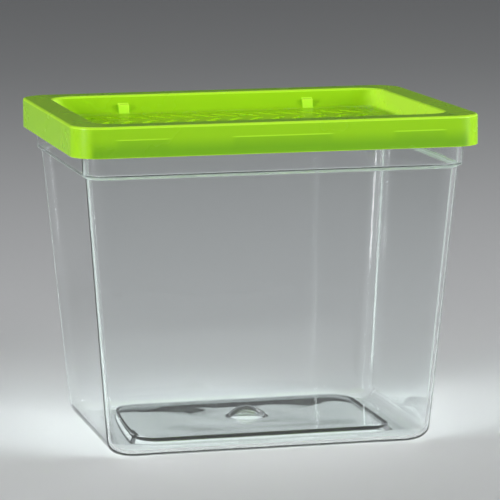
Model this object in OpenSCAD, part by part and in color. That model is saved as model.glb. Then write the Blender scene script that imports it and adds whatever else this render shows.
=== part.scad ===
// Feeder cricket keeper: a clear stacking tub and the recessed vented lid that snaps over its rim.
// Origin at the middle of the foot, +X along the width, +Y to the back, +Z up.

/* [Overall] */
// Width of the lid, left to right
lid_w = 200; // [150:1:260]
// Depth of the lid, front to back
lid_d = 158; // [120:1:220]
// Height from the foot to the top of the lid
overall_h = 163; // [110:1:240]

/* [Lid] */
// Thickness of the lid moulding
lid_t = 1.8; // [1.4:0.1:2.6]
// Height of the skirt that hangs outside the rim
skirt_h = 15; // [11:0.5:22]
// Width of the flat top rim
rim_w = 13.5; // [9:0.5:18]
// Depth of the recessed panel
recess_depth = 9.5; // [7:0.5:13]
// Lean of the recess wall over its depth
recess_lean = 3; // [1:0.5:4.5]
// Outer corner radius of the lid
lid_corner = 14; // [10:0.5:22]
// Corner radius of the recess
recess_corner = 12; // [7:0.5:18]
// Radius of the outer top edge
arris_r = 1.3; // [0.6:0.1:2]

/* [Vents] */
// Width of one vent slot
slot_w = 3.6; // [2:0.2:4.6]
// Length of one vent slot
slot_len = 17; // [12:0.5:20]
// Angle of the slots from the front to back line
slot_angle = 32; // [15:1:45]
// Number of slots in a row
slot_count = 13; // [7:2:13]
// Spacing of the slots in a row
slot_pitch = 11; // [9:0.5:12]
// Number of rows of slots
row_count = 5; // [3:1:5]
// Spacing of the rows
row_pitch = 21; // [19:0.5:24]

/* [Lugs] */
// Distance of a stacking lug from the middle
lug_x = 48.6; // [30:0.5:60]
// Width of a stacking lug
lug_w = 5.4; // [4:0.2:9]
// Height of a stacking lug above the panel
lug_h = 5; // [3:0.2:6]
// Reach of a stacking lug past the foot of the recess wall
lug_out = 1.4; // [0.8:0.1:1.8]

/* [Fit] */
// Clearance between the flange and the skirt
flange_gap = 0.6; // [0.4:0.05:1.2]
// Clearance between a snap bead and the flange edge
bead_gap = 0.15; // [0.1:0.05:0.3]
// Clearance between a snap bead and the underside of the flange
bead_drop = 0.3; // [0.2:0.1:0.8]
// Height of a snap bead
bead_h = 1.9; // [1.2:0.1:2.6]
// Half length of the middle snap bead
bead_mid = 24; // [15:0.5:30]
// Start of an outer snap bead from the middle
bead_start = 55; // [45:0.5:58]
// Length of an outer snap bead
bead_len = 25; // [15:0.5:27]

/* [Tub] */
// Thickness of the tub walls
tub_t = 2; // [1.5:0.1:3]
// Thickness of the tub floor
floor_t = 2.4; // [1.8:0.1:3.4]
// Corner radius of the tub
tub_corner = 11; // [9:0.5:15]
// Width of the rim flange past the wall
flange_w = 3.4; // [2:0.2:5]
// Thickness of the rim flange
flange_t = 2.5; // [1.6:0.1:3.2]
// Height of the shoulder line below the top of the lid
shoulder_drop = 25; // [20:0.5:40]
// Step out of the wall at the shoulder
shoulder_step = 1.8; // [0.8:0.1:2.4]
// Lean of the wall above the shoulder
band_lean = 0.7; // [0.2:0.1:2]
// Lean of the wall from the shoulder to the foot
wall_lean = 10.6; // [6:0.2:14]
// Radius of the bottom edge
foot_r = 7.5; // [5:0.5:10]

/* [Floor] */
// Distance from the foot outline to the raised panel of the floor
panel_inset = 17; // [14:0.5:24]
// Rise of the raised panel
panel_h = 3.8; // [2.5:0.1:6]
// Corner radius of the raised panel
panel_corner = 12; // [8:0.5:18]
// Diameter of the gate dome
dome_d = 20; // [14:0.5:28]
// Height of the gate dome
dome_h = 5; // [3:0.1:7]

/* [Hidden] */
CORNER_STEPS = 8;
ARC_STEPS = 5;
ROUND_STEPS = 48;
SLOT_STEPS = 16;
EPS = 0.01;
SKIRT_ROUND = 0.5;
PANEL_LEAN = 2;
RIM_ROUND = 0.7;

tub_h = overall_h - lid_t;
lid_x = lid_w / 2;
lid_y = lid_d / 2;
skirt_z = overall_h - skirt_h;
skirt_in = lid_t;
recess_z = overall_h - recess_depth;
recess_fillet = 2.5;
recess_edge = 1.4;
flange_in = lid_t + flange_gap;
band_top_in = flange_in + flange_w;
band_low_in = band_top_in + band_lean;
body_top_in = band_low_in + shoulder_step;
foot_in = body_top_in + wall_lean;
shoulder_z = overall_h - shoulder_drop;
flange_z = tub_h - flange_t;
flange_corner = lid_corner - flange_in;
panel_in = foot_in + panel_inset;
panel_foot_in = panel_in - PANEL_LEAN;
panel_z = floor_t + panel_h;
bead_z = flange_z - bead_drop;
bead_out = flange_gap - bead_gap;

// One rounded rectangle drawn at height z, set in from the lid outline by the distance inset
function ring(inset, radius, z) = [
    for (quarter = [0:3])
        for (step = [0:CORNER_STEPS])
            let (
                turn = quarter * 90 + step * 90 / CORNER_STEPS,
                side_x = (quarter == 0 || quarter == 3) ? 1 : -1,
                side_y = (quarter < 2) ? 1 : -1
            )
            [
                side_x * (lid_x - inset - radius) + radius * cos(turn),
                side_y * (lid_y - inset - radius) + radius * sin(turn),
                z
            ]
];

// A closed skin through the rings, with a flat cap on the first and on the last
module skin(rings) {
    count = len(rings[0]);
    last = len(rings) - 1;
    points = [for (one = rings) for (point = one) point];
    sides = [
        for (row = [0:last - 1])
            for (step = [0:count - 1])
                let (
                    low = row * count + step,
                    low_next = row * count + (step + 1) % count
                )
                for (face = [[low, low + count, low_next + count], [low, low_next + count, low_next]]) face
    ];
    first_cap = [[for (step = [0:count - 1]) step]];
    last_cap = [[for (step = [count - 1:-1:0]) last * count + step]];
    polyhedron(points = points, faces = concat(first_cap, sides, last_cap), convexity = 8);
}

module tub() {
    inner_r = foot_r - tub_t;
    underside = [
        ring(panel_in + tub_t, panel_corner - tub_t, panel_z - floor_t),
        ring(panel_foot_in + tub_t, panel_corner, 0)
    ];
    foot_edge = [
        for (step = [0:ARC_STEPS])
            let (turn = step * 90 / ARC_STEPS)
            ring(foot_in + foot_r * (1 - sin(turn)), tub_corner, foot_r * (1 - cos(turn)))
    ];
    wall = [
        ring(body_top_in, tub_corner, shoulder_z - shoulder_step / 2),
        ring(band_low_in, tub_corner, shoulder_z),
        ring(band_top_in, tub_corner, flange_z),
        ring(flange_in, flange_corner, flange_z),
        ring(flange_in, flange_corner, tub_h - RIM_ROUND),
        ring(flange_in + RIM_ROUND, flange_corner - RIM_ROUND, tub_h)
    ];
    inside = [
        ring(band_top_in + tub_t, tub_corner - tub_t, tub_h),
        ring(band_low_in + tub_t, tub_corner - tub_t, shoulder_z + tub_t / 2),
        ring(body_top_in + tub_t, tub_corner - tub_t, shoulder_z - shoulder_step / 2 - EPS)
    ];
    inner_edge = [
        for (step = [ARC_STEPS:-1:0])
            let (turn = step * 90 / ARC_STEPS)
            ring(
                foot_in + tub_t + inner_r * (1 - sin(turn)),
                tub_corner - tub_t,
                floor_t + inner_r * (1 - cos(turn))
            )
    ];
    floor_panel = [
        ring(panel_foot_in, panel_corner + PANEL_LEAN, floor_t),
        ring(panel_in, panel_corner, panel_z)
    ];
    color([0.88, 0.94, 0.94, 0.4])
    difference() {
        union() {
            skin(concat(underside, foot_edge, wall, inside, inner_edge, floor_panel));
            translate([0, 0, panel_z - EPS])
                dome(dome_d / 2, dome_h);
        }
        translate([0, 0, panel_z - floor_t - EPS])
            dome(dome_d / 2 - floor_t, dome_h);
    }
}

// A low dome of the given radius and height, standing on its flat face
module dome(radius, height) {
    sphere_r = (radius * radius + height * height) / (2 * height);
    half_angle = asin(radius / sphere_r);
    steps = 8;
    rotate_extrude($fn = ROUND_STEPS)
        polygon(concat(
            [[0, 0]],
            [
                for (step = [0:steps])
                    let (turn = half_angle * (1 - step / steps))
                    [sphere_r * sin(turn), sphere_r * (cos(turn) - 1) + height]
            ]
        ));
}

module lid() {
    wall_low_in = rim_w + recess_lean;
    under_z = recess_z - lid_t;
    underside = [
        ring(wall_low_in - lid_t + recess_fillet, recess_corner, under_z),
        ring(wall_low_in - lid_t + EPS, recess_corner + lid_t, under_z + recess_fillet),
        ring(rim_w - lid_t, recess_corner + lid_t, overall_h - lid_t)
    ];
    skirt = [
        ring(skirt_in, lid_corner - skirt_in, overall_h - lid_t),
        ring(skirt_in, lid_corner - skirt_in, skirt_z),
        ring(SKIRT_ROUND, lid_corner - SKIRT_ROUND, skirt_z),
        ring(0, lid_corner, skirt_z + SKIRT_ROUND)
    ];
    top_edge = [
        for (step = [0:ARC_STEPS])
            let (turn = step * 90 / ARC_STEPS)
            ring(
                arris_r * (1 - cos(turn)),
                lid_corner - arris_r * (1 - cos(turn)),
                overall_h - arris_r * (1 - sin(turn))
            )
    ];
    recess = [
        ring(rim_w - recess_edge, recess_corner + recess_edge, overall_h),
        ring(rim_w - recess_edge * 0.3, recess_corner + recess_edge * 0.3, overall_h - recess_edge * 0.3),
        ring(rim_w, recess_corner, overall_h - recess_edge),
        ring(wall_low_in, recess_corner, recess_z + recess_fillet),
        ring(wall_low_in + recess_fillet * 0.3, recess_corner, recess_z + recess_fillet * 0.3),
        ring(wall_low_in + recess_fillet, recess_corner, recess_z)
    ];
    color([0.62, 0.86, 0.16])
    difference() {
        union() {
            skin(concat(underside, skirt, top_edge, recess));
            lugs();
            beads();
        }
        vents();
    }
}

// Four square lugs on the front and back walls of the recess
module lugs() {
    lug_end = rim_w + recess_lean + lug_out;
    lug_root = rim_w + recess_lean * 0.35;
    for (side_y = [-1, 1])
        for (side_x = [-1, 1])
            translate([
                side_x * lug_x - lug_w / 2,
                side_y * (lid_y - (lug_end + lug_root) / 2) - (lug_end - lug_root) / 2,
                recess_z - EPS
            ])
                cube([lug_w, lug_end - lug_root, lug_h + EPS]);
}

// Snap beads inside the front and back of the skirt, just under the flange
module beads() {
    outer_mid = bead_start + bead_len / 2;
    for (turn = [0, 180])
        rotate([0, 0, turn]) {
            bead(0, bead_mid);
            bead(-outer_mid, bead_len / 2);
            bead(outer_mid, bead_len / 2);
        }
}

// One snap bead about x, half_len long each way
module bead(x, half_len) {
    translate([x - half_len, -lid_y + skirt_in, bead_z - bead_h])
        rotate([90, 0, 90])
            linear_extrude(2 * half_len)
                polygon([
                    [-EPS, 0],
                    [bead_out, bead_h * 0.4],
                    [bead_out, bead_h * 0.7],
                    [-EPS, bead_h]
                ]);
}

// Rows of slanted slots through the panel, each row leaning the other way
module vents() {
    for (row = [0:row_count - 1])
        for (slot = [0:slot_count - 1])
            translate([
                (slot - (slot_count - 1) / 2) * slot_pitch,
                (row - (row_count - 1) / 2) * row_pitch,
                recess_z - 2 * lid_t
            ])
                rotate([0, 0, (row % 2 == 0) ? slot_angle : -slot_angle])
                    vent_slot();
}

// One slot with round ends
module vent_slot() {
    straight = slot_len - slot_w;
    linear_extrude(3 * lid_t)
        union() {
            square([slot_w, straight], center = true);
            translate([0, straight / 2])
                circle(d = slot_w, $fn = SLOT_STEPS);
            translate([0, -straight / 2])
                circle(d = slot_w, $fn = SLOT_STEPS);
        }
}

tub();
lid();
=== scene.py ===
"""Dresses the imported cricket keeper: a clear tapered tub and its lime press-on lid, on a pale floor."""

import logging
import math
from dataclasses import dataclass, field
from enum import Enum
from functools import reduce
from typing import Iterable, Sequence

import bmesh
import bpy
from mathutils import Matrix, Vector


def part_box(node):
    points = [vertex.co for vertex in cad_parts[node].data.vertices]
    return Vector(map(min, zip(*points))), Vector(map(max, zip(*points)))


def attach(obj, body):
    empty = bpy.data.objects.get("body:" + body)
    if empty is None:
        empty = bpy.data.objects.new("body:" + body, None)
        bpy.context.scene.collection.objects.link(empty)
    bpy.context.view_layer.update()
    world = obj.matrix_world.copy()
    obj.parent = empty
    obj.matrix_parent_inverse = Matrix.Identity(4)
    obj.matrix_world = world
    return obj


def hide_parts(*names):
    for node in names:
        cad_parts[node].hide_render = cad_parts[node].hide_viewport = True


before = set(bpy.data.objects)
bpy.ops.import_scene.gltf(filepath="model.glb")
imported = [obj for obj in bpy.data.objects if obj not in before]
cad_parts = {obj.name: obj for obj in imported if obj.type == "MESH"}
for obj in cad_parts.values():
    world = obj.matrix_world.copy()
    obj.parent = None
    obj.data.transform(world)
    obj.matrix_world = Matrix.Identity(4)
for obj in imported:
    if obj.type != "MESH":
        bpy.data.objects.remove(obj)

LOG = logging.getLogger("cricket_keeper")
MM = 0.001
FLAT_FACE_WEIGHT = 80
EASE_OVER_DEG = 60.0
EASE_SEGMENTS = 2

Place = tuple[float, float]
Span = tuple[float, float]
Point = tuple[float, float, float]
Solid = tuple[list[Point], list[tuple[int, ...]]]
Colour = tuple[float, float, float, float]
Socket = bpy.types.NodeSocket
Value = float | Socket


class Joining(Enum):
    """Says how a tool's solids change a piece."""

    ADD = "UNION"
    CUT = "DIFFERENCE"


@dataclass(frozen=True)
class Turn:
    """One turning point of a profile, in millimetres.

    Attributes:
        inset: distance in from the lid's outline.
        height: height above the foot.
        fillet: radius of the rounding at this turn.
        corner: radius of the outline's four corners here.
    """

    inset: float
    height: float
    fillet: float
    corner: float


@dataclass(frozen=True)
class Outline:
    """The lid's outline, from which every loop of both mouldings is set in.

    Attributes:
        half_x: half the width in millimetres.
        half_y: half the depth in millimetres.
        corner_steps: number of edges round each corner.
        fillet_steps: number of edges round each profile fillet.
        corner_share: how far a corner radius follows the outline in and out along a fillet.
    """

    half_x: float
    half_y: float
    corner_steps: int = 20
    fillet_steps: int = 5
    corner_share: float = 0.5

    def loop(self, inset: float, corner: float, height: float) -> list[Point]:
        """Draws one rounded rectangle.

        Args:
            inset: distance in from the outline.
            corner: radius of the four corners.
            height: height of the loop.

        Returns:
            The loop's points in metres, counter-clockwise from above.
        """
        points = []
        for quarter in range(4):
            side_x = 1 if quarter in (0, 3) else -1
            side_y = 1 if quarter < 2 else -1
            centre_x = side_x * (self.half_x - inset - corner)
            centre_y = side_y * (self.half_y - inset - corner)
            for step in range(self.corner_steps + 1):
                angle = math.pi / 2 * (quarter + step / self.corner_steps)
                x = centre_x + corner * math.cos(angle)
                y = centre_y + corner * math.sin(angle)
                points.append((x * MM, y * MM, height * MM))
        return points

    def circle(self, radius: float, height: float) -> list[Point]:
        """Draws a circle about the middle, with as many points as a loop has.

        Args:
            radius: radius of the circle in millimetres.
            height: height of the circle in millimetres.

        Returns:
            The circle's points in metres, in step with those of a loop.
        """
        count = 4 * (self.corner_steps + 1)
        angles = [2 * math.pi * (step + 0.5) / count for step in range(count)]
        return [(radius * math.cos(a) * MM, radius * math.sin(a) * MM, height * MM) for a in angles]

    def rounded(self, turns: Sequence[Turn]) -> list[list[Point]]:
        """Draws the loops of a profile, with an arc at each turn that has a fillet.

        Args:
            turns: the profile's turning points, the first and last of them ends.

        Returns:
            The loops in order along the profile.
        """
        loops = []
        for index, turn in enumerate(turns):
            ends = index in (0, len(turns) - 1)
            if ends or turn.fillet <= 0:
                loops.append(self.loop(turn.inset, turn.corner, turn.height))
                continue
            for inset, height, corner in self.arc(turns[index - 1], turn, turns[index + 1]):
                loops.append(self.loop(inset, corner, height))
        return loops

    def arc(self, before: Turn, turn: Turn, after: Turn) -> list[tuple[float, float, float]]:
        """Works out the arc that rounds one turn.

        Args:
            before: the turning point before it.
            turn: the turning point that is rounded.
            after: the turning point after it.

        Returns:
            Inset, height and corner radius of each point along the arc.
        """
        here = Vector((turn.inset, turn.height))
        back = Vector((before.inset, before.height)) - here
        ahead = Vector((after.inset, after.height)) - here
        half_angle = back.angle(ahead) / 2
        reach = turn.fillet / math.tan(half_angle)
        start = here + back.normalized() * reach
        bisector = (back.normalized() + ahead.normalized()).normalized()
        middle = here + bisector * turn.fillet / math.sin(half_angle)
        spoke = start - middle
        sweep = math.pi - 2 * half_angle
        side = 1 if back.x * ahead.y - back.y * ahead.x < 0 else -1
        points = []
        for step in range(self.fillet_steps + 1):
            angle = side * sweep * step / self.fillet_steps
            x = middle.x + spoke.x * math.cos(angle) - spoke.y * math.sin(angle)
            y = middle.y + spoke.x * math.sin(angle) + spoke.y * math.cos(angle)
            points.append((x, y, turn.corner + (turn.inset - x) * self.corner_share))
        return points


def place_in_scene(name: str, data: bpy.types.ID) -> bpy.types.Object:
    """Makes an object of a mesh, light or camera and links it to the scene.

    Args:
        name: name of the object.
        data: what the object shows.

    Returns:
        The new object.
    """
    made = bpy.data.objects.new(name, data)
    bpy.context.scene.collection.objects.link(made)
    return made


def skin(name: str, loops: Sequence[Sequence[Point]]) -> bpy.types.Object:
    """Joins loops of equal length into one closed mesh object.

    Args:
        name: name of the object and of its mesh.
        loops: the loops in order, the first and last of them capped.

    Returns:
        The new object, linked to the scene.
    """
    mesh = bpy.data.meshes.new(name)
    shape = bmesh.new()
    rows = [[shape.verts.new(point) for point in loop] for loop in loops]
    count = len(rows[0])
    for low, high in zip(rows, rows[1:]):
        for step in range(count):
            after = (step + 1) % count
            shape.faces.new((low[step], low[after], high[after], high[step]))
    shape.faces.new(list(reversed(rows[0])))
    shape.faces.new(rows[-1])
    shape.normal_update()
    shape.to_mesh(mesh)
    shape.free()
    return place_in_scene(name, mesh)


def apply_modifiers(piece: bpy.types.Object) -> None:
    """Bakes a piece's modifiers into its mesh.

    Args:
        piece: the object whose modifiers are applied and removed.
    """
    graph = bpy.context.evaluated_depsgraph_get()
    made = bpy.data.meshes.new_from_object(piece.evaluated_get(graph))
    piece.modifiers.clear()
    piece.data = made


def combine(piece: bpy.types.Object, tool: bpy.types.Object, how: Joining) -> None:
    """Adds a tool's solids to a piece or takes them away, and deletes the tool.

    Args:
        piece: the object that is changed.
        tool: the object that holds the solids.
        how: whether the solids are added or cut away.
    """
    change = piece.modifiers.new("combine", "BOOLEAN")
    change.operation = how.value
    change.solver = "EXACT"
    change.object = tool
    apply_modifiers(piece)
    bpy.data.objects.remove(tool)


def ease(piece: bpy.types.Object, width: float) -> None:
    """Rounds the sharp edges of a piece a little.

    Args:
        piece: the object to change.
        width: width of the rounding in millimetres.
    """
    bevel = piece.modifiers.new("ease", "BEVEL")
    bevel.width = width * MM
    bevel.segments = EASE_SEGMENTS
    bevel.limit_method = "ANGLE"
    bevel.angle_limit = math.radians(EASE_OVER_DEG)
    apply_modifiers(piece)


def smooth(piece: bpy.types.Object, sharp_deg: float) -> None:
    """Shades a piece smooth, with flat faces kept flat and edges over an angle kept sharp.

    Args:
        piece: the object to shade.
        sharp_deg: the angle in degrees over which an edge stays sharp.
    """
    piece.data.shade_smooth()
    piece.data.set_sharp_from_angle(angle=math.radians(sharp_deg))
    weigh = piece.modifiers.new("weigh", "WEIGHTED_NORMAL")
    weigh.keep_sharp = True
    weigh.weight = FLAT_FACE_WEIGHT
    apply_modifiers(piece)


def solids(name: str, parts: Iterable[Solid]) -> bpy.types.Object:
    """Makes one object of separate closed solids.

    Args:
        name: name of the object.
        parts: the points and faces of each solid.

    Returns:
        The new object.
    """
    points: list[Point] = []
    faces: list[tuple[int, ...]] = []
    for own_points, own_faces in parts:
        start = len(points)
        points += own_points
        faces += [tuple(start + index for index in face) for face in own_faces]
    mesh = bpy.data.meshes.new(name)
    mesh.from_pydata(points, [], faces)
    shape = bmesh.new()
    shape.from_mesh(mesh)
    bmesh.ops.recalc_face_normals(shape, faces=shape.faces)
    shape.to_mesh(mesh)
    shape.free()
    return place_in_scene(name, mesh)


def prism(outline: Sequence[Place], low: float, high: float) -> Solid:
    """Builds an upright prism.

    Args:
        outline: the points of its outline in metres.
        low: height of its foot.
        high: height of its top.

    Returns:
        The points and the faces.
    """
    count = len(outline)
    points = [(x, y, low) for x, y in outline] + [(x, y, high) for x, y in outline]
    faces = [tuple(reversed(range(count))), tuple(range(count, 2 * count))]
    for step in range(count):
        after = (step + 1) % count
        faces.append((step, after, count + after, count + step))
    return points, faces


@dataclass(frozen=True)
class Spot:
    """Where a point of a piece lies, as sockets.

    Attributes:
        across: distance from the middle along the width.
        along: distance from the middle along the depth.
        height: height above the foot.
    """

    across: Socket
    along: Socket
    height: Socket


class Nodes:
    """A short way to lay out the nodes of one tree."""

    def __init__(self, tree: bpy.types.NodeTree) -> None:
        """Starts with a tree.

        Args:
            tree: the tree that the nodes go into.
        """
        self.tree = tree

    def add(self, kind: str, **settings: object) -> bpy.types.Node:
        """Adds a node.

        Args:
            kind: the node's type.
            settings: properties by name, or inputs by name with spaces as underscores.

        Returns:
            The new node.
        """
        node = self.tree.nodes.new(kind)
        for key, value in settings.items():
            if hasattr(node, key):
                setattr(node, key, value)
                continue
            by_number = key[0] == "i" and key[1:].isdigit()
            socket = node.inputs[int(key[1:])] if by_number else node.inputs[key.replace("_", " ")]
            if isinstance(value, Socket):
                self.tree.links.new(value, socket)
            else:
                socket.default_value = value
        return node

    def math(self, operation: str, *values: Value) -> Socket:
        """Adds a math node.

        Args:
            operation: the node's operation.
            values: a number or a socket for each input that the operation uses.

        Returns:
            The result's socket.
        """
        inputs = {f"i{index}": value for index, value in enumerate(values)}
        return self.add("ShaderNodeMath", operation=operation, **inputs).outputs[0]

    def product(self, *values: Value) -> Socket:
        """Multiplies two or more values."""
        return reduce(lambda first, second: self.math("MULTIPLY", first, second), values)

    def most(self, *values: Value) -> Socket:
        """Takes the largest of two or more values."""
        return reduce(lambda first, second: self.math("MAXIMUM", first, second), values)

    def spot(self, where: Socket) -> Spot:
        """Splits coordinates into distances from the middle and a height.

        Args:
            where: the socket of the coordinates.

        Returns:
            The three distances.
        """
        parts = self.add("ShaderNodeSeparateXYZ", Vector=where)
        across = self.math("ABSOLUTE", parts.outputs["X"])
        along = self.math("ABSOLUTE", parts.outputs["Y"])
        return Spot(across, along, parts.outputs["Z"])

    def step(self, value: Socket, low: float, high: float) -> Socket:
        """Adds a smooth step.

        Args:
            value: the socket to map.
            low: the value at which the step starts.
            high: the value at which it ends.

        Returns:
            The socket, from 0 to 1.
        """
        node = self.add("ShaderNodeMapRange", interpolation_type="SMOOTHSTEP")
        self.tree.links.new(value, node.inputs["Value"])
        node.inputs["From Min"].default_value = low
        node.inputs["From Max"].default_value = high
        return node.outputs["Result"]

    def band(self, value: Socket, low: float, high: float, blur: float) -> Socket:
        """Finds where a value lies within a band.

        Args:
            value: the socket to test.
            low: the band's lower side.
            high: its upper side.
            blur: how far each side fades.

        Returns:
            The socket, 1 inside the band and 0 outside.
        """
        rise = self.step(value, low - blur, low + blur)
        fall = self.step(value, high + blur, high - blur)
        return self.product(rise, fall)


class MaterialNodes(Nodes):
    """The nodes of one new material."""

    def __init__(self, name: str) -> None:
        """Starts a material with an empty tree.

        Args:
            name: name of the material.
        """
        self.material = bpy.data.materials.new(name)
        self.material.use_nodes = True
        super().__init__(self.material.node_tree)
        self.tree.nodes.clear()

    def close(self, shader: Socket) -> bpy.types.Material:
        """Links a shader to the output.

        Args:
            shader: the shader's socket.

        Returns:
            The finished material.
        """
        output = self.add("ShaderNodeOutputMaterial")
        self.tree.links.new(shader, output.inputs["Surface"])
        return self.material


@dataclass(frozen=True)
class ClearFinish:
    """Clear moulded polystyrene, with faint flow waves and scuffs, and a painted gleam at the shoulder and
    corners.

    Attributes:
        tint: colour of the plastic.
        roughness: roughness of its polished faces.
        refraction: refractive index.
        wave_scale: waves to a metre.
        wave_detail: how broken the waves are.
        wave_strength: how much the waves bend the light.
        wave_depth: depth of the waves in metres.
        scuff_scale: scuffed patches to a metre.
        scuff_detail: how broken the patches are.
        scuff_range: noise at which a patch starts and is full.
        scuff_roughness: roughness that a full patch adds.
        shadow: light that passes through into the tub's shadow.
        gleam: colour of the painted gleam that stands in for light coming out at the shoulder and the
            corners.
        gleam_passed: share of that painted gleam that passes through the wall.
        shoulder_gleam: strength of the gleam along the shoulder.
        corner_gleam: strength of the gleam along the corners.
        shoulder: height of the shoulder in metres.
        shoulder_half: half the width of its line.
        diagonal: distance across less distance along, at the middle of a corner.
        corner_half: half the width of a corner's line.
        corner_foot: height in metres at which a corner's line starts.
    """

    tint: Colour = (0.965, 0.985, 0.985, 1.0)
    roughness: float = 0.012
    refraction: float = 1.59
    wave_scale: float = 16.0
    wave_detail: float = 1.5
    wave_strength: float = 0.035
    wave_depth: float = 0.002
    scuff_scale: float = 90.0
    scuff_detail: float = 4.0
    scuff_range: Span = (0.55, 0.8)
    scuff_roughness: float = 0.05
    shadow: Colour = (0.93, 0.95, 0.95, 1.0)
    gleam: Colour = (0.80, 0.90, 0.88, 1.0)
    gleam_passed: float = 0.5
    shoulder_gleam: float = 0.55
    corner_gleam: float = 0.28
    shoulder: float = 0.1376
    shoulder_half: float = 0.0007
    diagonal: float = 0.0286
    corner_half: float = 0.0013
    corner_foot: float = 0.012

    def material(self) -> bpy.types.Material:
        """Builds the material."""
        nodes = MaterialNodes("clear_polystyrene")
        where = nodes.add("ShaderNodeTexCoord").outputs["Object"]
        # The clear plastic gets a painted gleam along the shoulder and the corners.
        edged = nodes.add(
            "ShaderNodeMixShader",
            i0=self.edges(nodes, nodes.spot(where)),
            i1=self.polished(nodes, where),
            i2=self.painted_gleam(nodes),
        )
        clear = nodes.add("ShaderNodeBsdfTransparent", Color=self.shadow)
        shadow_ray = nodes.add("ShaderNodeLightPath").outputs["Is Shadow Ray"]
        mix = nodes.add("ShaderNodeMixShader", i0=shadow_ray, i1=edged.outputs[0], i2=clear.outputs[0])
        return nodes.close(mix.outputs[0])

    def polished(self, nodes: Nodes, where: Socket) -> Socket:
        """Makes the clear plastic.

        Args:
            nodes: the material's nodes.
            where: the socket of the object's coordinates.

        Returns:
            The shader's socket.
        """
        waves = nodes.add(
            "ShaderNodeTexNoise",
            Vector=where,
            Scale=self.wave_scale,
            Detail=self.wave_detail,
        )
        scuffs = nodes.add(
            "ShaderNodeTexNoise",
            Vector=where,
            Scale=self.scuff_scale,
            Detail=self.scuff_detail,
        )
        patchy = nodes.step(scuffs.outputs["Fac"], *self.scuff_range)
        bump = nodes.add(
            "ShaderNodeBump",
            Strength=self.wave_strength,
            Distance=self.wave_depth,
            Height=waves.outputs["Fac"],
        )
        plastic = nodes.add(
            "ShaderNodeBsdfPrincipled",
            Base_Color=self.tint,
            Roughness=nodes.math("MULTIPLY_ADD", patchy, self.scuff_roughness, self.roughness),
            IOR=self.refraction,
            Transmission_Weight=1.0,
            Normal=bump.outputs[0],
        )
        return plastic.outputs[0]

    def painted_gleam(self, nodes: Nodes) -> Socket:
        """Makes the painted gleam of an edge, a whitish shader lit from both sides.

        Args:
            nodes: the material's nodes.

        Returns:
            The shader's socket.
        """
        lit = nodes.add("ShaderNodeBsdfDiffuse", Color=self.gleam).outputs[0]
        passed = nodes.add("ShaderNodeBsdfTranslucent", Color=self.gleam).outputs[0]
        return nodes.add("ShaderNodeMixShader", i0=self.gleam_passed, i1=lit, i2=passed).outputs[0]

    def edges(self, nodes: Nodes, spot: Spot) -> Socket:
        """Finds the shoulder and the corners, where a painted gleam stands in for light caught in the wall
        coming out.

        Args:
            nodes: the material's nodes.
            spot: the place on the tub.

        Returns:
            A socket that is over 0 along those edges.
        """
        low, high = self.shoulder - self.shoulder_half, self.shoulder + self.shoulder_half
        ledge = nodes.band(spot.height, low, high, self.shoulder_half / 2)
        apart = nodes.math("SUBTRACT", spot.across, spot.along)
        low, high = self.diagonal - self.corner_half, self.diagonal + self.corner_half
        line = nodes.band(apart, low, high, self.corner_half / 2)
        raised = nodes.step(spot.height, self.corner_foot, self.corner_foot * 2)
        upright = nodes.product(line, self.corner_gleam, raised)
        return nodes.most(nodes.product(ledge, self.shoulder_gleam), upright)


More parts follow.
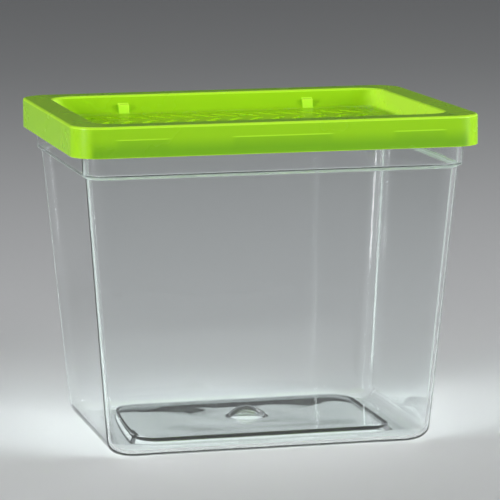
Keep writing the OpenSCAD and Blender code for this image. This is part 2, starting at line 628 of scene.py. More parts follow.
@dataclass(frozen=True)
class LimeFinish:
    """Slightly translucent lime polypropylene, with painted shade and painted light in its colour.

    Places on the lid are in metres. A pair is the two sides of a band, or where a step starts and ends.

    Attributes:
        body: colour of the plastic.
        shade: its painted-shade colour, for where little light gets behind it.
        bright: its painted-light colour, for where light shines through it.
        roughness: least roughness of the surface.
        rough_spread: roughness that the patches add.
        refraction: refractive index.
        gloss: level of its mirror-like share.
        depth_share: share of the light that travels under the surface.
        depth: how far that light travels.
        depth_tint: how far it travels in red, green and blue, against depth.
        patch_scale: patches to a metre.
        patch_detail: how broken the patches are.
        patch_range: noise at which a patch starts and is full.
        patch_shade: shade that a full patch adds.
        grain_scale: grains to a metre.
        grain_detail: how broken the grain is.
        grain_strength: how much the grain bends the light.
        grain_depth: depth of the grain.
        bead_low: height of the beads' lower line.
        bead_blur: how far the shade under a bead fades.
        bead_line: width of the light line along a bead.
        bead_mid: half length of the middle bead.
        bead_side: start and end of an outer bead.
        bead_end_blur: how far a bead's ends fade.
        long_face: distance along at which the long sides of the skirt start.
        end_face: distance across at which its ends start.
        foot_fade: heights above and below bead_low between which the skirt's foot gets darker.
        long_shade: shade all over the long sides.
        end_shade: shade all over the ends.
        foot_shade: shade that the foot adds between the beads.
        bead_shade: shade just under a bead.
        bead_foot_shade: shade that the foot adds under a bead.
        rim_face: height at which the flat rim starts.
        rim_ends: distance across at which the rim's lighter ends start.
        rim_shade: shade of the rim's long sides.
        rim_end_shade: shade of its ends.
        foot_edge: height of the light line along the skirt's foot.
        foot_light: strength of that line.
        arris: height of the rounded edge, low and high.
        arris_blur: how far its light fades.
        arris_light: strength of its light.
        bead_light: strength of the light line along a bead.
        recess_wall: distance across at which the recess's end walls start.
        recess_end: distance across at which they end.
        recess_front: distance along at which they end.
        recess_height: their foot and top.
        recess_blur: how far their light fades.
        lug_across: sides of a lug across the lid.
        lug_along: its sides along the depth.
        lug_height: its foot and top.
        lug_blur: how far its light fades, across first.
    """

    body: Colour = (0.33, 0.65, 0.008, 1.0)
    shade: Colour = (0.17, 0.40, 0.010, 1.0)
    bright: Colour = (0.54, 0.95, 0.045, 1.0)
    roughness: float = 0.24
    rough_spread: float = 0.06
    refraction: float = 1.5
    gloss: float = 0.25
    depth_share: float = 0.35
    depth: float = 0.0035
    depth_tint: tuple[float, float, float] = (0.9, 1.0, 0.25)
    patch_scale: float = 35.0
    patch_detail: float = 3.0
    patch_range: Span = (0.3, 0.75)
    patch_shade: float = 0.03
    grain_scale: float = 900.0
    grain_detail: float = 2.0
    grain_strength: float = 0.04
    grain_depth: float = 0.0002
    bead_low: float = 0.1563
    bead_blur: float = 0.0003
    bead_line: float = 0.0005
    bead_mid: float = 0.024
    bead_side: Span = (0.055, 0.080)
    bead_end_blur: float = 0.002
    long_face: Span = (0.0770, 0.0785)
    end_face: Span = (0.0980, 0.0995)
    foot_fade: Span = (0.002, 0.007)
    long_shade: float = 0.30
    end_shade: float = 0.12
    foot_shade: float = 0.75
    bead_shade: float = 0.25
    bead_foot_shade: float = 0.50
    rim_face: Span = (0.16288, 0.16298)
    rim_ends: Span = (0.082, 0.090)
    rim_shade: float = 0.52
    rim_end_shade: float = 0.06
    foot_edge: Span = (0.1486, 0.1482)
    foot_light: float = 0.75
    arris: Span = (0.1618, 0.16293)
    arris_blur: float = 0.00006
    arris_light: float = 0.6
    bead_light: float = 0.45
    recess_wall: Span = (0.0770, 0.0845)
    recess_end: Span = (0.0876, 0.0868)
    recess_front: Span = (0.066, 0.060)
    recess_height: Span = (0.1542, 0.1625)
    recess_blur: float = 0.0004
    lug_across: Span = (0.0458, 0.0514)
    lug_along: Span = (0.0605, 0.0645)
    lug_height: Span = (0.1538, 0.1590)
    lug_blur: Span = (0.0002, 0.0003)

    def material(self) -> bpy.types.Material:
        """Builds the material."""
        nodes = MaterialNodes("lime_polypropylene")
        where = nodes.add("ShaderNodeTexCoord").outputs["Object"]
        spot = nodes.spot(where)
        patches = nodes.add(
            "ShaderNodeTexNoise",
            Vector=where,
            Scale=self.patch_scale,
            Detail=self.patch_detail,
        ).outputs["Fac"]
        grain = nodes.add(
            "ShaderNodeTexNoise",
            Vector=where,
            Scale=self.grain_scale,
            Detail=self.grain_detail,
        ).outputs["Fac"]
        patchy = nodes.product(nodes.step(patches, *self.patch_range), self.patch_shade)
        # Painted shade: the body colour is mixed towards the shade colour on the skirt and rim, with random
        # patches.
        shade = nodes.math("ADD", self.shaded(nodes, spot), patchy)
        painted_shade_colour = nodes.add("ShaderNodeMix", data_type="RGBA", i0=shade, i6=self.body, i7=self.shade)
        # Painted light: the colour is mixed towards the bright colour along edges, bead lines, recess ends
        # and lugs.
        colour = nodes.add(
            "ShaderNodeMix",
            data_type="RGBA",
            i0=self.lit(nodes, spot),
            i6=painted_shade_colour.outputs[2],
            i7=self.bright,
        )
        bump = nodes.add(
            "ShaderNodeBump",
            Strength=self.grain_strength,
            Distance=self.grain_depth,
            Height=grain,
        )
        plastic = nodes.add(
            "ShaderNodeBsdfPrincipled",
            Base_Color=colour.outputs[2],
            Roughness=nodes.math("MULTIPLY_ADD", patches, self.rough_spread, self.roughness),
            IOR=self.refraction,
            Specular_IOR_Level=self.gloss,
            Subsurface_Weight=self.depth_share,
            Subsurface_Radius=self.depth_tint,
            Subsurface_Scale=self.depth,
            Normal=bump.outputs[0],
        )
        return nodes.close(plastic.outputs[0])

    def on_beads(self, nodes: Nodes, spot: Spot) -> Socket:
        """Finds the stretches of the skirt that have a bead inside.

        Args:
            nodes: the material's nodes.
            spot: the place on the lid.

        Returns:
            A socket that is 1 over a bead and 0 beside it.
        """
        middle = nodes.step(
            spot.across,
            self.bead_mid + self.bead_end_blur,
            self.bead_mid - self.bead_end_blur,
        )
        outer = nodes.band(spot.across, *self.bead_side, self.bead_end_blur)
        return nodes.math("ADD", middle, outer)

    def shaded(self, nodes: Nodes, spot: Spot) -> Socket:
        """Finds where shade is painted, for little light behind the plastic: the skirt, most at its foot,
        and the rim.

        Args:
            nodes: the material's nodes.
            spot: the place on the lid.

        Returns:
            A socket that is 0 in the recess, and over 0 on the rim and on the skirt.
        """
        on_long = nodes.step(spot.along, *self.long_face)
        on_end = nodes.step(spot.across, *self.end_face)
        skirt = nodes.most(nodes.product(on_long, self.long_shade), nodes.product(on_end, self.end_shade))
        return nodes.math(
            "ADD",
            nodes.product(self.shaded_foot(nodes, spot), on_long),
            nodes.most(skirt, self.shaded_rim(nodes, spot)),
        )

    def shaded_foot(self, nodes: Nodes, spot: Spot) -> Socket:
        """Gives the painted shade of the skirt's foot, with a sharp upper edge under each bead.

        Args:
            nodes: the material's nodes.
            spot: the place on the lid.

        Returns:
            The shade's socket.
        """
        above, below = self.foot_fade
        at_foot = nodes.step(spot.height, self.bead_low + above, self.bead_low - below)
        under_bead = nodes.step(spot.height, self.bead_low + self.bead_blur, self.bead_low - self.bead_blur)
        on_bead = self.on_beads(nodes, spot)
        off_bead = nodes.math("SUBTRACT", 1.0, on_bead)
        lower = nodes.math("MULTIPLY_ADD", at_foot, self.bead_foot_shade, self.bead_shade)
        beaded = nodes.product(under_bead, lower, on_bead)
        plain = nodes.product(at_foot, self.foot_shade, off_bead)
        return nodes.math("ADD", beaded, plain)

    def shaded_rim(self, nodes: Nodes, spot: Spot) -> Socket:
        """Gives the painted shade of the flat rim, lighter at its ends.

        Args:
            nodes: the material's nodes.
            spot: the place on the lid.

        Returns:
            The shade's socket.
        """
        on_ends = nodes.step(spot.across, *self.rim_ends)
        lighter = nodes.product(on_ends, self.rim_shade - self.rim_end_shade)
        rim = nodes.step(spot.height, *self.rim_face)
        return nodes.product(rim, nodes.math("SUBTRACT", self.rim_shade, lighter))

    def lit(self, nodes: Nodes, spot: Spot) -> Socket:
        """Finds where light is painted, for light coming through the plastic: edges, bead lines, recess ends
        and lugs.

        Args:
            nodes: the material's nodes.
            spot: the place on the lid.

        Returns:
            A socket from 0 to 1.
        """
        foot = nodes.step(spot.height, *self.foot_edge)
        arris = nodes.band(spot.height, *self.arris, self.arris_blur)
        line = nodes.band(spot.height, self.bead_low, self.bead_low + self.bead_line, self.bead_line / 3)
        bead = nodes.product(line, nodes.step(spot.along, *self.long_face), self.on_beads(nodes, spot))
        return nodes.most(
            nodes.product(foot, self.foot_light),
            nodes.product(arris, self.arris_light),
            nodes.product(bead, self.bead_light),
            self.lit_lugs(nodes, spot),
            self.lit_recess_ends(nodes, spot),
        )

    def lit_recess_ends(self, nodes: Nodes, spot: Spot) -> Socket:
        """Finds the end walls of the recess, where light is painted.

        Args:
            nodes: the material's nodes.
            spot: the place on the lid.

        Returns:
            A socket that is 1 on them.
        """
        return nodes.product(
            nodes.step(spot.across, *self.recess_wall),
            nodes.step(spot.across, *self.recess_end),
            nodes.step(spot.along, *self.recess_front),
            nodes.band(spot.height, *self.recess_height, self.recess_blur),
        )

    def lit_lugs(self, nodes: Nodes, spot: Spot) -> Socket:
        """Finds the stacking lugs, where light is painted.

        Args:
            nodes: the material's nodes.
            spot: the place on the lid.

        Returns:
            A socket that is 1 on them.
        """
        blur_across, blur = self.lug_blur
        return nodes.product(
            nodes.band(spot.across, *self.lug_across, blur_across),
            nodes.band(spot.along, *self.lug_along, blur),
            nodes.band(spot.height, *self.lug_height, blur),
        )


@dataclass
class Tub:
    """The clear tub: raised floor panel, gate dome, tapered walls, shoulder, band and flange.

    Sizes are in millimetres. An inset is a distance in from the lid's outline.

    Attributes:
        outline: the lid's outline.
        rim_height: height of the rim.
        flange_foot: height of the flange's underside.
        flange_inset: inset of its edge.
        flange_corner: how much larger its corner radius is than the wall's.
        band_top_inset: inset of the band under the flange.
        band_low_inset: inset of the band at the shoulder.
        body_top_inset: inset of the wall under the shoulder.
        foot_inset: inset of the wall at the top of the bottom edge's rounding.
        shoulder: height of the shoulder.
        shoulder_fall: how far the shoulder falls towards the wall under it.
        inner_shoulder: how much higher the shoulder starts on the inside.
        bend: inset and height at which the lean of the inside starts to change a little.
        bend_drop: how far under that height it has changed.
        low_run: height over which the inside leans in from there to the floor.
        wall: thickness of the walls.
        corner: corner radius of the walls.
        foot_round: radius of the bottom edge.
        ring: how far past the bottom edge's rounding the flat ring keeps the wall's outline.
        floor: thickness of the floor.
        panel: height of the raised panel.
        panel_inset: inset of its edge.
        panel_corner: its corner radius.
        corner_step: how much that radius changes from one turn to the next beside it.
        panel_lean: width of its sloping side.
        panel_flat: width of the flat stretch inside its edge.
        hollow_flat: the same on the underside.
        hollow_fillet: rounding of the hollow's edge on the underside.
        ring_fillet: rounding of the ring's inner edge.
        shoulder_fillet: rounding under the shoulder.
        step_fillet: rounding over the shoulder.
        flange_fillet: roundings of the flange's underside.
        rim_fillet: rounding of the rim's outer edge.
        lip_fillet: rounding of its inner edge.
        inner_fillet: roundings of the inside.
        dome_radius: radius of the gate dome.
        dome_height: its height.
        dome_wall: how much smaller it is on the underside.
        dome_ease: how softly it meets the panel.
        dome_reach: where its outermost circle lies, as a share of its radius.
        dome_tip: where its innermost circle tends to, as a share of its radius.
        dome_steps: number of its circles.
        brim_share: where the flat brim round it ends, as a share of its radius.
        panel_steps: number of strips between the panel's edge and the brim.
        ripple: height of the rings in the flow mark.
        ring_length: distance from ring to ring.
        ring_wobble: how unevenly the rings run.
        wobble_length: length of that unevenness.
        mark: middle of the flow mark on the panel.
        mark_size: its half width and half depth.
        sag: height of the slow waves in the panel.
        sag_length: their length across and along the panel.
        sag_shift: how far they are shifted across.
        slant_share: height of the slanting waves, as a share of the others.
        slant: how much they slant.
        slant_length: their length.
        sharp_deg: angle over which an edge is shaded sharp.
        finish: the plastic.
    """

    outline: Outline
    rim_height: float = 161.1
    flange_foot: float = 158.7
    flange_inset: float = 2.4
    flange_corner: float = 0.6
    band_top_inset: float = 5.8
    band_low_inset: float = 6.5
    body_top_inset: float = 8.3
    foot_inset: float = 18.9
    shoulder: float = 138.0
    shoulder_fall: float = 0.9
    inner_shoulder: float = 1.0
    bend: Place = (19.9, 20.0)
    bend_drop: float = 0.5
    low_run: float = 17.0
    wall: float = 2.0
    corner: float = 11.0
    foot_round: float = 7.5
    ring: float = 1.5
    floor: float = 2.4
    panel: float = 6.2
    panel_inset: float = 35.9
    panel_corner: float = 12.0
    corner_step: float = 1.0
    panel_lean: float = 2.0
    panel_flat: float = 3.0
    hollow_flat: float = 6.0
    hollow_fillet: float = 1.0
    ring_fillet: float = 0.8
    shoulder_fillet: float = 0.7
    step_fillet: float = 0.6
    flange_fillet: float = 0.4
    rim_fillet: float = 0.7
    lip_fillet: float = 0.5
    inner_fillet: float = 1.2
    dome_radius: float = 10.0
    dome_height: float = 5.0
    dome_wall: float = 1.6
    dome_ease: float = 0.5
    dome_reach: float = 1.35
    dome_tip: float = 0.04
    dome_steps: int = 26
    brim_share: float = 1.7
    panel_steps: int = 26
    ripple: float = 0.10
    ring_length: float = 7.5
    ring_wobble: float = 0.6
    wobble_length: float = 3.0
    mark: Place = (-31.0, -1.0)
    mark_size: Span = (11.0, 9.0)
    sag: float = 0.07
    sag_length: Span = (9.0, 7.0)
    sag_shift: float = 0.8
    slant_share: float = 0.6
    slant: float = 1.7
    slant_length: float = 12.0
    sharp_deg: float = 50.0
    finish: ClearFinish = field(default_factory=ClearFinish)

    @property
    def lean(self) -> float:
        """How far the walls lean in over one millimetre down."""
        return (self.foot_inset - self.body_top_inset) / (self.shoulder - self.foot_round)

    def build(self) -> bpy.types.Object:
        """Builds, shades and dresses the tub.

        Returns:
            The tub's object.
        """
        piece = skin("tub_moulding", self.loops())
        smooth(piece, self.sharp_deg)
        piece.data.materials.append(self.finish.material())
        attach(piece, "tub")
        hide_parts("tub")
        return piece

    def loops(self) -> list[list[Point]]:
        """Draws the whole skin, from the middle of the underside to the top of the dome."""
        under = self.dome(self.dome_radius - self.dome_wall, self.panel - self.floor)
        turns = self.underside() + self.outside() + self.inside()
        over = self.dome(self.dome_radius, self.panel)
        return list(reversed(under)) + self.outline.rounded(turns) + self.flow() + over

    def underside(self) -> list[Turn]:
        """Lists the turns of the floor from below, from the hollow to the ring."""
        ceiling = self.panel - self.floor
        inner = self.panel_inset + self.wall
        ring = self.foot_inset + self.foot_round + self.ring
        return [
            Turn(inner + self.hollow_flat, ceiling, 0, self.panel_corner - 2 * self.corner_step),
            Turn(inner, ceiling, self.hollow_fillet, self.panel_corner - self.corner_step),
            Turn(inner - self.panel_lean, 0, self.ring_fillet, self.panel_corner),
            Turn(ring, 0, 0, self.corner),
        ]

    def outside(self) -> list[Turn]:
        """Lists the turns of the outside, from the bottom edge to the rim."""
        foot = self.foot_inset + self.lean * self.foot_round
        flange_corner = self.corner + self.flange_corner
        return [
            Turn(foot, 0, self.foot_round, self.corner),
            Turn(self.body_top_inset, self.shoulder - self.shoulder_fall, self.shoulder_fillet, self.corner),
            Turn(self.band_low_inset, self.shoulder, self.step_fillet, self.corner),
            Turn(self.band_top_inset, self.flange_foot, self.flange_fillet, self.corner),
            Turn(self.flange_inset, self.flange_foot, self.flange_fillet, flange_corner),
            Turn(self.flange_inset, self.rim_height, self.rim_fillet, flange_corner),
        ]

    def inside(self) -> list[Turn]:
        """Lists the turns of the inside, from the rim to the raised panel."""
        corner = self.corner - self.wall
        top = self.band_top_inset + self.wall
        low = self.band_low_inset + self.wall
        body = self.body_top_inset + self.wall
        foot = self.foot_inset + self.wall + self.lean * (self.foot_round - self.floor)
        side = self.panel_inset - self.panel_lean
        flat = self.panel_inset + self.panel_flat
        return [
            Turn(top, self.rim_height, self.lip_fillet, corner),
            Turn(low, self.shoulder + self.inner_shoulder, self.inner_fillet, corner),
            Turn(body, self.shoulder - self.shoulder_fall, self.inner_fillet, corner),
            Turn(*self.bend, 0, corner),
            Turn(foot - self.lean * self.low_run, self.bend[1] - self.bend_drop, 0, corner),
            Turn(foot, self.floor, self.foot_round - self.wall, corner),
            Turn(side, self.floor, self.inner_fillet, self.panel_corner + 2 * self.corner_step),
            Turn(self.panel_inset, self.panel, self.inner_fillet, self.panel_corner),
            Turn(flat, self.panel, 0, self.panel_corner - self.corner_step),
        ]

    def dome(self, radius: float, base: float) -> list[list[Point]]:
        """Draws the circles of the gate dome, part of a ball that eases into the panel.

        Args:
            radius: radius of the dome.
            base: height of the panel that it stands on.

        Returns:
            The circles, from the brim to a small one at the top.
        """
        ball = (radius ** 2 + self.dome_height ** 2) / (2 * self.dome_height)
        slope = radius / (ball - self.dome_height)
        circles = [self.outline.circle(radius * self.brim_share, base)]
        for step in range(self.dome_steps):
            out = radius * (self.dome_reach - (self.dome_reach - self.dome_tip) * step / self.dome_steps)
            if out < radius:
                height = math.sqrt(ball ** 2 - out ** 2) - ball + self.dome_height
            else:
                height = slope * (radius - out)
            eased = (height + math.hypot(height, self.dome_ease)) / 2
            circles.append(self.outline.circle(out, base + eased))
        return circles

    def flow(self) -> list[list[Point]]:
        """Draws the raised panel between its edge and the dome, with the flow marks left by moulding."""
        inset = self.panel_inset + self.panel_flat
        edge = self.outline.loop(inset, self.panel_corner - self.corner_step, self.panel)
        brim = self.outline.circle(self.dome_radius * self.brim_share, self.panel)
        loops = []
        for step in range(1, self.panel_steps):
            share = step / self.panel_steps
            fade = math.sqrt(math.sin(math.pi * share))
            loop = []
            for (edge_x, edge_y, _), (brim_x, brim_y, _) in zip(edge, brim):
                x = edge_x + (brim_x - edge_x) * share
                y = edge_y + (brim_y - edge_y) * share
                loop.append((x, y, (self.panel + fade * self.flow_height(x / MM, y / MM)) * MM))
            loops.append(loop)
        return loops

    def flow_height(self, x: float, y: float) -> float:
        """Gives the height of the flow marks on the panel.

        Args:
            x: place across the panel in millimetres.
            y: place along its depth in millimetres.

        Returns:
            The height in millimetres, above or below the panel's plane.
        """
        off_x = (x - self.mark[0]) / self.mark_size[0]
        off_y = (y - self.mark[1]) / self.mark_size[1]
        wobble = self.ring_wobble * math.sin(y / self.wobble_length)
        rings = math.sin(2 * math.pi * math.hypot(x, y) / self.ring_length + wobble)
        waves = math.sin(x / self.sag_length[0] + self.sag_shift) * math.cos(y / self.sag_length[1])
        slanting = self.slant_share * math.sin((x + self.slant * y) / self.slant_length)
        return self.ripple * math.exp(-off_x ** 2 - off_y ** 2) * rings + self.sag * (waves + slanting)


@dataclass
class Lid:
    """The lime lid: skirt, flat rim, recessed panel, vent slots, lugs and snap beads.

    Sizes are in millimetres, and heights are above the tub's foot.

    Attributes:
        outline: the lid's outline.
        top: height of the rim.
        wall: thickness of the moulding.
        skirt: height of the skirt.
        skirt_draft: how much thinner the skirt is at its foot.
        rim: width of the flat rim.
        depth: depth of the recess.
        corner: corner radius of the skirt.
        recess_corner: corner radius of the recess.
        recess_top: how far outside the rim's inner edge the recess's wall starts.
        recess_top_corner: how much larger its corner radius is there.
        recess_foot: how far inside that edge it meets the panel.
        under_foot: the same on the underside.
        panel_flat: how far inside that edge the profile ends.
        arris: rounding of the outer top edge.
        foot_fillet: rounding of the skirt's foot on the outside.
        foot_inner_fillet: the same on the inside.
        skirt_top_fillet: rounding between the rim and the skirt on the underside.
        rim_under_fillet: rounding between the rim and the recess's wall on the underside.
        under_fillet: rounding of the panel's edge on the underside.
        recess_top_fillet: rounding of the recess's upper edge.
        recess_foot_fillet: rounding of its foot.
        slot_width: width of a vent slot.
        slot_length: its length.
        slot_angle_deg: its slant.
        slots: slots in a row.
        slot_pitch: spacing of the slots.
        rows: rows of slots.
        row_pitch: spacing of the rows.
        slot_steps: number of edges round each end of a slot.
        slot_reach: how far the cut reaches below and above the panel.
        slot_ease: rounding of the slots' edges.
        lug_x: distance of a stacking lug from the middle.
        lug_width: its width.
        lug_height: its height.
        lug_near: distance from the rim's inner edge to its near face.
        lug_far: distance from there to its far face.
        lug_sink: how far it reaches into the panel.
        lug_ease: rounding of its edges.
        bead_low: height of a snap bead's foot.
        bead_high: height of its top.
        bead_flat: heights above its foot at which its flat face starts and ends.
        bead_reach: how far it stands out of the skirt.
        bead_root: how far it reaches into the skirt.
        bead_mid: half length of the middle bead.
        bead_side: distance of an outer bead from the middle.
        bead_side_half: its half length.
        sharp_deg: angle over which an edge is shaded sharp.
        finish: the plastic.
    """

    outline: Outline
    top: float = 163.0
    wall: float = 1.8
    skirt: float = 15.0
    skirt_draft: float = 0.15
    rim: float = 13.5
    depth: float = 9.5
    corner: float = 14.0
    recess_corner: float = 12.0
    recess_top: float = 0.75
    recess_top_corner: float = 1.0
    recess_foot: float = 4.3
    under_foot: float = 2.3
    panel_flat: float = 9.0
    arris: float = 1.3
    foot_fillet: float = 0.5
    foot_inner_fillet: float = 0.4
    skirt_top_fillet: float = 0.8
    rim_under_fillet: float = 0.7
    under_fillet: float = 2.2
    recess_top_fillet: float = 1.5
    recess_foot_fillet: float = 3.0
    slot_width: float = 3.6
    slot_length: float = 17.0
    slot_angle_deg: float = 32.0
    slots: int = 13
    slot_pitch: float = 11.0
    rows: int = 5
    row_pitch: float = 21.0
    slot_steps: int = 10
    slot_reach: Span = (4.0, 3.0)
    slot_ease: float = 0.3
    lug_x: float = 48.6
    lug_width: float = 5.4
    lug_height: float = 5.0
    lug_near: float = 1.2
    lug_far: float = 4.4
    lug_sink: float = 0.5
    lug_ease: float = 0.5
    bead_low: float = 156.5
    bead_high: float = 158.4
    bead_flat: Span = (0.76, 1.33)
    bead_reach: float = 0.45
    bead_root: float = 0.3
    bead_mid: float = 24.0
    bead_side: float = 67.5
    bead_side_half: float = 12.5
    sharp_deg: float = 40.0
    finish: LimeFinish = field(default_factory=LimeFinish)

    @property
    def panel(self) -> float:
        """Height of the recessed panel."""
        return self.top - self.depth

    def build(self) -> bpy.types.Object:
        """Builds, shades and dresses the lid.

        Returns:
            The lid's object.
        """
        piece = skin("lid_moulding", self.outline.rounded(self.profile()))
        combine(piece, self.lugs(), Joining.ADD)
        combine(piece, self.beads(), Joining.ADD)
        combine(piece, self.vents(), Joining.CUT)
        ease(piece, self.slot_ease)
        smooth(piece, self.sharp_deg)
        piece.data.materials.clear()
        piece.data.materials.append(self.finish.material())
        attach(piece, "lid")
        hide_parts("lid")
        return piece

    def profile(self) -> list[Turn]:
        """Lists the turns of the lid's profile, from the panel's underside to its top."""
        floor = self.panel - self.wall
        ceiling = self.top - self.wall
        foot = self.top - self.skirt
        inner = self.corner - self.wall
        under = self.recess_corner + self.wall
        upper = self.recess_corner + self.recess_top_corner
        return [
            Turn(self.rim + self.panel_flat, floor, 0, self.recess_corner),
            Turn(self.rim + self.under_foot, floor, self.under_fillet, under),
            Turn(self.rim - self.wall, ceiling, self.rim_under_fillet, under),
            Turn(self.wall, ceiling, self.skirt_top_fillet, inner),
            Turn(self.wall - self.skirt_draft, foot, self.foot_inner_fillet, inner),
            Turn(0, foot, self.foot_fillet, self.corner),
            Turn(0, self.top, self.arris, self.corner),
            Turn(self.rim - self.recess_top, self.top, self.recess_top_fillet, upper),
            Turn(self.rim + self.recess_foot, self.panel, self.recess_foot_fillet, self.recess_corner),
            Turn(self.rim + self.panel_flat, self.panel, 0, self.recess_corner),
        ]

    def lugs(self) -> bpy.types.Object:
        """Makes the four stacking lugs on the recess's front and back walls."""
        edge = self.outline.half_y - self.rim
        low = (self.panel - self.lug_sink) * MM
        high = (self.panel + self.lug_height) * MM
        parts = []
        for side_y in (-1, 1):
            front, back = sorted((side_y * (edge - self.lug_near), side_y * (edge - self.lug_far)))
            for side_x in (-1, 1):
                left = side_x * self.lug_x - self.lug_width / 2
                right = left + self.lug_width
                corners = ((left, front), (right, front), (right, back), (left, back))
                parts.append(prism([(x * MM, y * MM) for x, y in corners], low, high))
        piece = solids("lugs", parts)
        ease(piece, self.lug_ease)
        return piece

    def beads(self) -> bpy.types.Object:
        """Makes the snap beads inside the front and back of the skirt."""
        face = self.outline.half_y - self.wall
        flat_low, flat_high = (self.bead_low + rise for rise in self.bead_flat)
        section = (
            (self.bead_root, self.bead_low),
            (-self.bead_reach, flat_low),
            (-self.bead_reach, flat_high),
            (self.bead_root, self.bead_high),
        )
        runs = (
            (0.0, self.bead_mid),
            (-self.bead_side, self.bead_side_half),
            (self.bead_side, self.bead_side_half),
        )
        parts = []
        for side in (-1, 1):
            for middle, half in runs:
                ends = (middle - half, middle + half)
                points = [(x * MM, side * (face + out) * MM, z * MM) for x in ends for out, z in section]
                faces = [(0, 1, 2, 3), (7, 6, 5, 4)]
                faces += [(i, i + 4, (i + 1) % 4 + 4, (i + 1) % 4) for i in range(4)]
                parts.append((points, faces))
        return solids("beads", parts)

    def vents(self) -> bpy.types.Object:
        """Makes the slanted slots, each row leaning the other way."""
        below, above = self.slot_reach
        parts = []
        for row in range(self.rows):
            tilt = math.radians(self.slot_angle_deg if row % 2 == 0 else -self.slot_angle_deg)
            middle_y = (row - (self.rows - 1) / 2) * self.row_pitch
            for slot in range(self.slots):
                middle_x = (slot - (self.slots - 1) / 2) * self.slot_pitch
                outline = self.slot_outline((middle_x, middle_y), tilt)
                parts.append(prism(outline, (self.panel - below) * MM, (self.panel + above) * MM))
        return solids("vents", parts)

    def slot_outline(self, middle: Place, tilt: float) -> list[Place]:
        """Draws one slot with round ends.

        Args:
            middle: the slot's middle.
            tilt: its slant in radians.

        Returns:
            The outline's points in metres.
        """
        radius = self.slot_width / 2
        straight = (self.slot_length - self.slot_width) / 2
        slant = Matrix.Rotation(tilt, 2)
        outline = []
        for end in (1, -1):
            for step in range(self.slot_steps + 1):
                angle = math.pi * (step / self.slot_steps + (0 if end == 1 else 1))
                upright = Vector((radius * math.cos(angle), radius * math.sin(angle) + end * straight))
                point = slant @ upright
                outline.append(((middle[0] + point.x) * MM, (middle[1] + point.y) * MM))
        return outline


@dataclass(frozen=True)
class Softbox:
    """One soft studio light.

    Attributes:
        name: name of the light.
        place: its place in metres.
        size: its width and height in metres.
        power: its power in watts.
        aim: the point that it faces.
        spread_deg: the angle that its light spreads over.
    """

    name: str
    place: Point
    size: Span
    power: float
    aim: Point = (0.0, 0.0, 0.09)
    spread_deg: float = 140.0

    def build(self) -> bpy.types.Object:
        """Adds the light to the scene."""
        data = bpy.data.lights.new(self.name, "AREA")
        data.shape = "RECTANGLE"
        data.size, data.size_y = self.size
        data.energy = self.power
        data.spread = math.radians(self.spread_deg)
        lamp = place_in_scene(self.name, data)
        lamp.location = self.place
        lamp.rotation_euler = (Vector(self.place) - Vector(self.aim)).to_track_quat("Z", "Y").to_euler()
        return lamp


@dataclass(frozen=True)
class PaperFinish:
    """Pale grey backdrop paper.

    Attributes:
        colour: colour of the paper.
        roughness: its roughness.
        grain_scale: grains to a metre.
        grain_detail: how broken the grain is.
        grain_strength: how much the grain bends the light.
        grain_depth: depth of the grain in metres.
    """

    colour: Colour = (0.63, 0.64, 0.65, 1.0)
    roughness: float = 0.8
    grain_scale: float = 700.0
    grain_detail: float = 2.0
    grain_strength: float = 0.05
    grain_depth: float = 0.0005

    def material(self) -> bpy.types.Material:
        """Builds the material."""
        nodes = MaterialNodes("pale_floor")
        where = nodes.add("ShaderNodeTexCoord").outputs["Object"]
        grain = nodes.add(
            "ShaderNodeTexNoise",
            Vector=where,
            Scale=self.grain_scale,
            Detail=self.grain_detail,
        )
        bump = nodes.add(
            "ShaderNodeBump",
            Strength=self.grain_strength,
            Distance=self.grain_depth,
            Height=grain.outputs["Fac"],
        )
        paper = nodes.add(
            "ShaderNodeBsdfPrincipled",
            Base_Color=self.colour,
            Roughness=self.roughness,
            Normal=bump.outputs[0],
        )
        return nodes.close(paper.outputs[0])


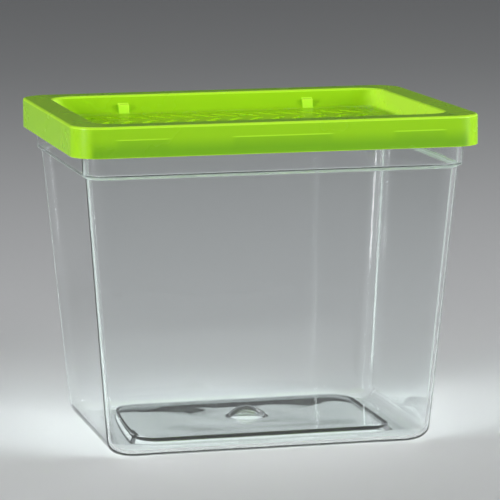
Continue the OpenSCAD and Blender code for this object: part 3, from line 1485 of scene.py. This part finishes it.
@dataclass
class Studio:
    """The pale floor, the soft light and the camera at the photograph's angle.

    Attributes:
        azimuth_deg: how far the camera stands to the right of the front, below 0 to the left.
        elevation_deg: how far it looks down.
        roll_deg: how far it is tilted.
        distance: its distance from the target in metres.
        target: the point that it looks at.
        focal_pixels: its focal length in pixels.
        image_pixels: width of the picture in pixels.
        sensor: width of its sensor in millimetres.
        clip: nearest and farthest distance that it sees, in metres.
        floor_radius: radius of the floor in metres.
        floor_edges: number of edges round the floor.
        floor_drop: how far the floor lies below the tub's foot.
        world_colour: colour of the light all round.
        world_dim: strength of that light everywhere.
        world_side: strength that it gains at both sides, near the horizon.
        side_range: how far to the side that gain starts and is full.
        low_range: how high above the horizon it starts and is full.
        paper: the floor's finish.
    """

    azimuth_deg: float = -13.531
    elevation_deg: float = 8.621
    roll_deg: float = -0.35
    distance: float = 1.575
    target: Point = (0.0025, 0.0, 0.09)
    focal_pixels: float = 3150.5
    image_pixels: float = 500.0
    sensor: float = 36.0
    clip: Span = (0.05, 60.0)
    floor_radius: float = 14.0
    floor_edges: int = 96
    floor_drop: float = 0.0003
    world_colour: Colour = (0.96, 0.98, 1.0, 1.0)
    world_dim: float = 0.08
    world_side: float = 0.6
    side_range: Span = (0.45, 0.9)
    low_range: Span = (0.65, 0.30)
    paper: PaperFinish = field(default_factory=PaperFinish)

    def camera(self) -> bpy.types.Object:
        """Places the camera.

        Returns:
            The camera's object.
        """
        azimuth, elevation = math.radians(self.azimuth_deg), math.radians(self.elevation_deg)
        roll = math.radians(self.roll_deg)
        back = Vector((
            math.sin(azimuth) * math.cos(elevation),
            -math.cos(azimuth) * math.cos(elevation),
            math.sin(elevation),
        ))
        right = Vector((math.cos(azimuth), math.sin(azimuth), 0.0))
        up = back.cross(right)
        rolled_right = right * math.cos(roll) + up * math.sin(roll)
        rolled_up = up * math.cos(roll) - right * math.sin(roll)
        data = bpy.data.cameras.new("camera")
        data.sensor_width = self.sensor
        data.lens = self.focal_pixels * self.sensor / self.image_pixels
        data.clip_start, data.clip_end = self.clip
        camera = place_in_scene("camera", data)
        turn = Matrix((rolled_right, rolled_up, back)).transposed().to_4x4()
        camera.matrix_world = Matrix.Translation(Vector(self.target) + back * self.distance) @ turn
        bpy.context.scene.camera = camera
        return camera

    def floor(self) -> bpy.types.Object:
        """Lays the floor."""
        mesh = bpy.data.meshes.new("floor")
        shape = bmesh.new()
        bmesh.ops.create_circle(shape, cap_ends=True, segments=self.floor_edges, radius=self.floor_radius)
        shape.to_mesh(mesh)
        shape.free()
        mesh.materials.append(self.paper.material())
        floor = place_in_scene("floor", mesh)
        floor.location.z = -self.floor_drop
        return floor

    def world(self) -> bpy.types.World:
        """Sets the soft grey light all round, strongest at both sides near the horizon."""
        world = bpy.data.worlds.new("studio")
        world.use_nodes = True
        nodes = Nodes(world.node_tree)
        where = nodes.add("ShaderNodeTexCoord").outputs["Generated"]
        parts = nodes.add("ShaderNodeSeparateXYZ", Vector=where)
        sideways = nodes.math("ABSOLUTE", parts.outputs["X"])
        side = nodes.product(nodes.step(sideways, *self.side_range), self.world_side)
        low = nodes.step(parts.outputs["Z"], *self.low_range)
        back = nodes.tree.nodes["Background"]
        back.inputs["Color"].default_value = self.world_colour
        nodes.tree.links.new(nodes.math("MULTIPLY_ADD", side, low, self.world_dim), back.inputs["Strength"])
        bpy.context.scene.world = world
        return world

    def lights(self) -> list[bpy.types.Object]:
        """Hangs the softboxes."""
        boxes = (
            Softbox("left_box", (-2.1, -0.75, 0.64), (0.26, 0.9), 23.0),
            Softbox("right_box", (2.1, -1.0, 0.62), (0.26, 0.9), 20.0),
            Softbox("front_box", (1.50, -2.30, 1.20), (0.8, 0.5), 17.0),
            Softbox("top_box", (0.0, 0.85, 1.45), (1.3, 0.2), 1.7),
        )
        return [box.build() for box in boxes]

    def build(self) -> None:
        """Sets up the whole studio."""
        bpy.context.scene.view_settings.view_transform = "Standard"
        self.camera()
        self.floor()
        self.world()
        self.lights()


def main() -> None:
    logging.basicConfig(level=logging.INFO, format="%(message)s")
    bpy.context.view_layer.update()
    low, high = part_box("lid")
    outline = Outline((high[0] - low[0]) / 2 / MM, (high[1] - low[1]) / 2 / MM)
    Studio().build()
    for part in (Tub(outline), Lid(outline)):
        piece = part.build()
        LOG.info("%s: %d faces", piece.name, len(piece.data.polygons))


if __name__ == "__main__":
    main()
